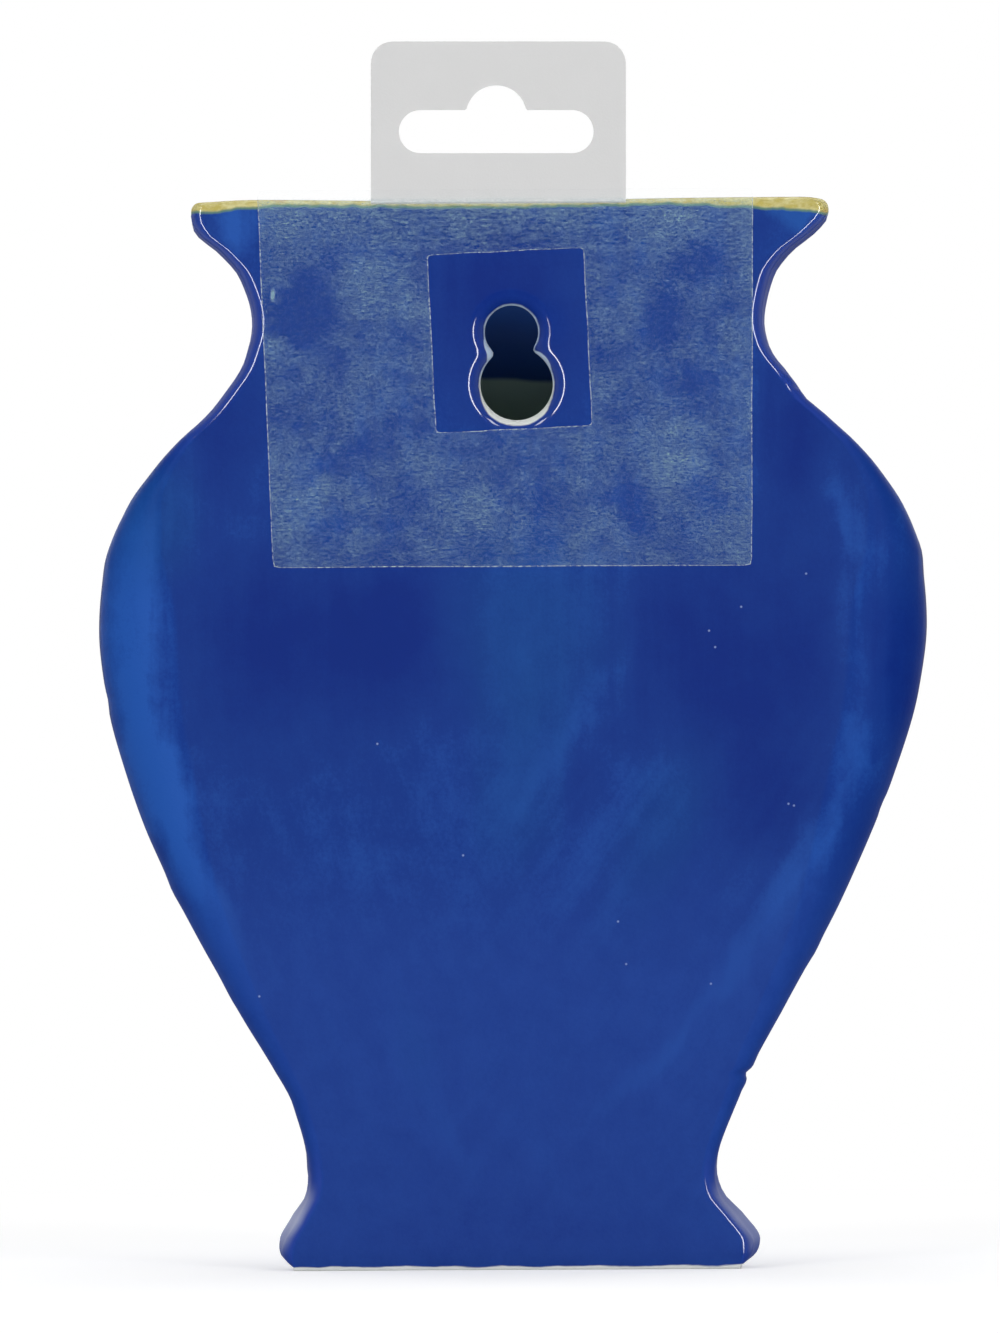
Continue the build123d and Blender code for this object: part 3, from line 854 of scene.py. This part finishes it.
def glaze(name):
    """The outside: cobalt glaze with its edges, the yellow lip, the keyhole's bevel and the bare clay."""
    n = new_material(name)
    level = n.attribute("level")
    colour, grain = cobalt_colour(n)
    side = n.size(n.nx)
    right = n.step(n.x, 1, -1)
    # painted reflection: the rolled edge at the neck and foot is painted violet for the pale surroundings seen in it at
    # a glancing angle, and painted shade darkens the belly's edge
    beside = n.step(n.y, -14, -9)
    neck = n.step(n.z, -24, -12)
    foot = n.step(n.z, -132, -140)
    off_middle = n.step(n.size(n.x), 16, 24)
    rolled = n.times(n.step(side, 0.06, 0.3), beside, off_middle)
    colour = n.mix(n.times(rolled, n.most(neck, foot), 0.55), colour, srgb(44, 70, 164))
    # the foot's flare is paler, most on the left: thin glaze there, and a painted reflection of the pale surroundings
    # at a glancing angle
    flank_thin_glaze_and_reflection = n.times(n.step(side, 0.3, 0.95), n.step(n.y, -17, -9), n.hump(level, 8.4, 6.8))
    colour = n.mix(n.times(flank_thin_glaze_and_reflection, n.total(1, (-0.4, right))), colour, srgb(166, 175, 212))
    belly = n.rest(n.most(neck, foot))
    # painted shade: a dark line along the belly's edge, where the surface turns sideways
    edge_shade = n.times(n.step(side, 0.93, 0.985), belly, beside)
    colour = n.mix(n.times(edge_shade, 0.6), colour, srgb(16, 36, 100))
    # painted highlights: a pale dot at each pinhole for its glint
    pinhole_glint_gap = 9.0
    flat = n.join(n.x, 0, n.z)
    for x, z in PINHOLE_GLINTS:
        pinhole_glint_gap = n.math("MINIMUM", pinhole_glint_gap, n.vector("DISTANCE", flat, (x, 0, z)))
    on_back = n.step(n.y, -3, -1)
    colour = n.mix(n.times(n.step(pinhole_glint_gap, 0.24, 0.1), on_back, 0.6), colour, srgb(170, 190, 225))
    # bare clay where the foot was wiped
    ragged = n.noise((0.12, 0.12, 0.3))
    sole = n.step(n.total(level, (1.3, ragged, 0.5)), 0.75, 0.45)
    colour = n.mix(sole, colour, srgb(238, 240, 238))
    # yellow of the lip, running green into the blue, lower at the two ends
    reach = n.step(n.size(n.x), 36, 51)
    run = n.total(level, (1.1, n.noise((0.3, 0.3, 0.1)), 0.5), (0.75, reach), (0.6, n.step(n.x, -26, -38)))
    green = n.mix(n.noise((0.25, 0.25, 0.25), shift=(7, 0, 0)), srgb(92, 124, 136), srgb(114, 152, 90))
    colour = n.mix(n.times(n.step(run, MOUTH + 0.5, MOUTH + 0.9), 0.9), colour, green)
    dry = n.step(n.noise((0.45, 0.45, 0.8), 4, 0.65, shift=(4, 0, 0)), 0.35, 0.65)
    mustard = n.mix(dry, srgb(194, 180, 98), srgb(218, 211, 152))
    rust = n.step(n.noise((0.2, 0.2, 0.5), 3, 0.6, shift=(0, 0, 9)), 0.58, 0.7)
    mustard = n.mix(n.times(rust, 0.6), mustard, srgb(194, 152, 68))
    colour = n.mix(n.step(run, MOUTH + 0.9, MOUTH + 1.35), colour, mustard)
    # cream clay showing at the keyhole's edge
    lobe1 = n.math("SUBTRACT", n.vector("LENGTH", flat), SMALL[2])
    centred = n.join(n.math("SUBTRACT", n.x, BIG[0]), 0, n.math("SUBTRACT", n.z, BIG[1]))
    lobe2 = n.math("SUBTRACT", n.vector("LENGTH", centred), BIG[2])
    edge = n.math("SMOOTH_MIN", lobe1, lobe2, BLEND_LOBES)
    in_back = n.step(n.y, -5.2, -4.9)
    bevel = n.times(n.step(edge, 2.45, 1.5), in_back, n.step(n.z, 4.5, -1, 0.15, 0.4))
    colour = n.mix(bevel, colour, srgb(34, 62, 150))
    wobble = n.noise((0.4, 0.4, 0.4))
    reach_out = n.total(0.2, (0.4, wobble, 0.5), (0.75, n.step(n.z, -8.8, -15.6)))
    reach_out = n.dabs(flat, BARE_SPOTS, reach_out)
    bare = n.times(n.step(n.math("SUBTRACT", edge, reach_out), 0.14, -0.14), in_back)
    # partly painted light: the clay is paler on the lower lobe, whose edge faces up to the lamps, and bluer on the
    # upper lobe
    clay = n.mix(n.step(n.z, -6, -10), srgb(186, 204, 224), n.mix(wobble, srgb(214, 218, 212), srgb(240, 243, 240)))
    colour = n.mix(bare, colour, clay)
    # gloss: full, but satin along the belly's rolled edge, where the glaze was handled
    left_neck = n.step(n.z, -18, -12.5)
    right_neck = n.most(n.step(n.z, -7.8, -6.4), n.hump(n.z, -9.4, 0.8))
    right_foot = n.times(n.step(n.z, -139, -143), n.step(n.z, -152, -150.6))
    on_right = n.most(right_neck, right_foot)
    kept = n.math("MULTIPLY_ADD", right, n.math("SUBTRACT", on_right, left_neck), left_neck)
    kept = n.times(kept, n.step(n.ny, 0.35, 0.6))
    satin = n.times(n.step(side, 0.02, 0.08), n.step(n.ny, 0, 0.08), n.rest(kept), off_middle)
    # the gloss round the keyhole thins out at its upper right
    hazy = n.times(n.dab(flat, -6.5, 2, 6, 4.5, 0), 0.6)
    over_top = n.times(n.step(n.z, 0.8, 2.6), n.step(edge, 2.95, 2.45))
    satin = n.most(hazy, over_top, satin)
    clay_part = n.most(bare, sole)
    gloss = n.times(n.rest(satin), n.rest(clay_part))
    rough = n.math("MULTIPLY_ADD", clay_part, 0.35, n.total(0.45, (0.1, grain)))
    relief = n.total(n.noise((0.07, 0.07, 0.05), 2), (0.1, grain))
    return n.finish(Base_Color=colour, Roughness=rough, Specular_IOR_Level=0.08, Coat_Weight=gloss, Coat_Roughness=0.06,
                    Coat_IOR=1.65, Normal=n.bump(relief, 0.0004))


def inside(name):
    """The inside: dark blue above a slanting line, pale olive below it, and yellow at the mouth."""
    n = new_material(name)
    cloud = n.noise((0.05, 0.05, 0.05), 3, 0.6)
    blue = n.mix(cloud, srgb(31, 70, 138), srgb(43, 90, 168))
    olive = n.mix(cloud, srgb(179, 197, 184), srgb(199, 213, 202))
    line = n.total(n.z, (-0.06, n.x), (1.6, cloud, 0.5))
    colour = n.mix(n.step(line, -8, -7), olive, blue)
    yellow = n.step(n.attribute("level"), MOUTH - 1.5, MOUTH + 0.4)
    colour = n.mix(yellow, colour, srgb(190, 178, 92))
    return n.finish(Base_Color=colour, Roughness=n.total(0.4, (0.1, cloud)), Specular_IOR_Level=0.2,
                    Normal=n.bump(cloud, 0.0008))


# Cloudier and clearer patches of the film, in the columns of the brushwork
FILM_CLOUDS = [(21.6, 9, 7.5, 9, 0, 0.08), (-32, 11.5, 5.5, 7, 0, -0.045), (-24.6, -21.5, 11, 10, 0, 0.07),
               (20.8, -8.3, 7.5, 8.5, 0, 0.05), (6.8, -29, 6, 10, 0, 0.05), (34.8, -24, 12, 7, 0, 0.04),
               (34.8, 3.2, 9, 7.5, 0, -0.14), (-23.8, 1.6, 9, 8.5, 0, -0.06), (-20.5, -28, 12, 4, 0, -0.05),
               (26.5, -19, 7, 7, 0, -0.05)]


def film_material(name):
    """Frosted film: mottled white haze with fibres that lie across it, and brighter cut edges."""
    n = new_material(name)
    edge = n.attribute("edge")
    mottle = n.noise((0.13, 1, 0.17), 4, 0.65)
    patch = n.noise((0.045, 1, 0.05), 2, 0.5, shift=(2, 0, 5))
    fibre = n.noise((0.26, 1, 2.3), 3, 0.7)
    fine = n.noise((0.8, 1, 5.5), 2, 0.7, shift=(0, 0, 3))
    fleck = n.noise((2.2, 1, 3.2), 2, 0.8, shift=(8, 0, 1))
    # thicker along the top and the sides
    top = n.step(n.z, 12, 21, 0, 0.08)
    rim_gain = n.step(n.size(n.math("SUBTRACT", n.x, 0.5)), 30, 39, 0, 0.03)
    at = n.join(n.total(n.x, (12, mottle, 0.5)), n.y, n.total(n.z, (12, patch, 0.5)))
    cloudy = n.dabs(at, FILM_CLOUDS)
    haze = n.total(0.08, (0.34, mottle, 0.5), (0.12, patch, 0.5), (1, cloudy), (1, top), (1, rim_gain))
    # the fibres catch more light where the haze is thick
    hairs = n.total(0, (0.3, fibre, 0.5), (0.7, fine, 0.5), (0.72, fleck, 0.5))
    haze = n.math("MULTIPLY_ADD", hairs, n.step(haze, -0.02, 0.2, 0.3, 0.85), n.most(haze, 0.02))
    haze = n.total(haze, (0.4, n.dab(n.mm, 39.2, 6.2, 1.5, 0.6, 4)))
    cut = n.step(n.noise((1.3, 1, 1.3), 3, 0.8, shift=(3, 0, 3)), 0.38, 0.62, 0.15, 0.8)
    alpha = n.most(haze, 0.012, n.times(edge, cut))
    alpha = n.math("MULTIPLY", alpha, n.step(n.z, 21.4, 22.2, 1, 0.08), clamp=True)
    colour = n.mix(fleck, srgb(170, 219, 230), srgb(198, 231, 238))
    colour = n.mix(edge, colour, srgb(214, 226, 240))
    return n.finish(Base_Color=colour, Roughness=0.6, Specular_IOR_Level=0.1, Alpha=alpha)


def tab_material(name):
    """Flat grey plastic, clear where it lies under the film."""
    n = new_material(name)
    cloud = n.noise((0.08, 0.08, 0.08), 2)
    grain = n.noise((3, 3, 3))
    tone = n.math("MULTIPLY_ADD", grain, 0.3, n.times(cloud, 0.7))
    colour = n.mix(tone, srgb(214, 214, 214), srgb(219, 219, 219))
    clear = n.step(n.z, 20.9, 21.5)
    return n.finish(Base_Color=colour, Roughness=0.5, Specular_IOR_Level=0.15, Alpha=clear,
                    Normal=n.bump(grain, 0.00002))


cobalt = glaze("cobalt_glaze")
hollow = inside("inside_glaze")
for piece in (back_glaze, front_glaze, foot_glaze, rim_glaze):
    piece.data.materials.append(cobalt)
    piece.data.materials.append(hollow)
adhesive.data.materials.append(film_material("frosted_film"))
hang_tab.data.materials.append(tab_material("grey_tab"))

for piece, node, finish_slot in (
    (back_glaze, "back_slab", "cobalt_glaze_back"),
    (front_glaze, "front_shell", "cobalt_glaze_front"),
    (foot_glaze, "foot_slab", "cobalt_glaze_foot"),
    (rim_glaze, "rim_lip", "yellow_glaze"),
    (adhesive, "adhesive_film", "frosted_film"),
):
    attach(piece, "vase")
    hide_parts(node)
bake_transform(hang_tab)
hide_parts("hang_tab", "hang_tab_leg")

# Floor, light and camera
bpy.ops.mesh.primitive_circle_add(vertices=96, radius=4.0, fill_type="NGON", location=(0, 0, -SEAT * MM))
floor = bpy.context.object
floor.name = "floor"
n = Nodes(bpy.data.materials.new("paper_floor"))
place = n.coords["Object"]
# near the foot the paper keeps the shadow; farther off it is the white of the background
away = n.step(n.vector("LENGTH", place), 0.10, 0.40)
grain = n.first("ShaderNodeTexNoise", {"Vector": place, "Scale": 900.0, "Detail": 2.0})
tint = n.step(grain, 0.3, 0.7, 0.79, 0.81)
white = n.first("ShaderNodeBsdfDiffuse", {"Color": n.join(tint, tint, tint)})
glow, bright = (n.first("ShaderNodeEmission", {"Strength": strength}) for strength in (0.42, 1.0))
shaded = n.first("ShaderNodeAddShader", enumerate((white, glow)))
rays = n.add("ShaderNodeLightPath").outputs
seen = n.either(rays["Is Camera Ray"], white, n.either(away, shaded, bright))
mirrored = n.either(rays["Is Glossy Ray"], seen, n.first("ShaderNodeBsdfTransparent"))
n.add("ShaderNodeOutputMaterial", {"Surface": mirrored})
floor.data.materials.append(n.owner)

# The studio is dim on the side that the flat back faces, so that its gloss stays clear, and pale behind the vase
n = Nodes(bpy.data.worlds.new("studio"))
bpy.context.scene.world = n.owner
dim = n.step(n.split(n.coords["Generated"])[1], 0.55, -0.45, 0.07, 0.48)
room, backdrop = (n.first("ShaderNodeBackground", {"Color": (1, 1, 1, 1), "Strength": s}) for s in (dim, 1.0))
rays = n.add("ShaderNodeLightPath").outputs
n.add("ShaderNodeOutputWorld", {"Surface": n.either(rays["Is Camera Ray"], room, backdrop)})


def lamp(name, place, target, size, tall, radiance):
    """A rectangular soft light; its power follows from its radiance and size."""
    data = bpy.data.lights.new(name, "AREA")
    data.shape = "RECTANGLE"
    data.size, data.size_y = size, tall
    data.energy = radiance * math.pi * size * tall
    obj = bpy.data.objects.new(name, data)
    bpy.context.scene.collection.objects.link(obj)
    obj.location = place
    obj.rotation_euler = (Vector(target) - Vector(place)).to_track_quat("-Z", "Y").to_euler()
    obj.visible_camera = False


# place, target, width, height and radiance of each lamp; two strips give the thin highlights along the edges
for side, tag in ((1, "left"), (-1, "right")):
    lamp(f"strip_{tag}", (side * 0.75, 1.3, -0.22), (0, 0, -0.22), 0.2, 1.72, 13.2)
    lamp(f"key_{tag}", (side * 0.59, 1.0, 0.945), (0, 0, 0), 0.32, 0.25, 7.6)
    lamp(f"front_{tag}", (side * 0.9, -1.3, 0.45), (0, 0, 0), 0.45, 1.2, 2.2)
lamp("overhead", (0, -0.1, 1.4), (0, 0, 0), 1.5, 1.2, 1.1)

# The photograph's frame: millimetres in a pixel, width and height in pixels, column of the axis, row of the sole
PIXEL = 0.1643
PHOTO_WIDTH, PHOTO_HEIGHT = 1000, 1333
AXIS_COLUMN, SOLE_ROW = 511.5, 1270.2
CENTRE = ((AXIS_COLUMN - PHOTO_WIDTH / 2) * PIXEL * MM, (SOLE_ROW - PHOTO_HEIGHT / 2) * PIXEL * MM - SEAT * MM)
DISTANCE = 2.6
data = bpy.data.cameras.new("photo_camera")
camera = bpy.data.objects.new("photo_camera", data)
bpy.context.scene.collection.objects.link(camera)
data.sensor_width = 36.0
data.lens = data.sensor_width * DISTANCE / (PHOTO_HEIGHT * PIXEL * MM)
data.clip_start, data.clip_end = 0.01, 20
look = Matrix(((-1, 0, 0), (0, 0, 1), (0, 1, 0))).to_4x4()
roll = Matrix.Rotation(-TILT, 4, "Z")
# the lean is about the keyhole, which keeps its place in the frame
lean = Matrix.Rotation(-TILT, 2)
offset = lean @ Vector((CENTRE[0], -CENTRE[1]))
camera.matrix_world = Matrix.Translation((offset[0], DISTANCE, -offset[1])) @ look @ roll
bpy.context.scene.camera = camera
bpy.context.scene.view_settings.view_transform = "Standard"
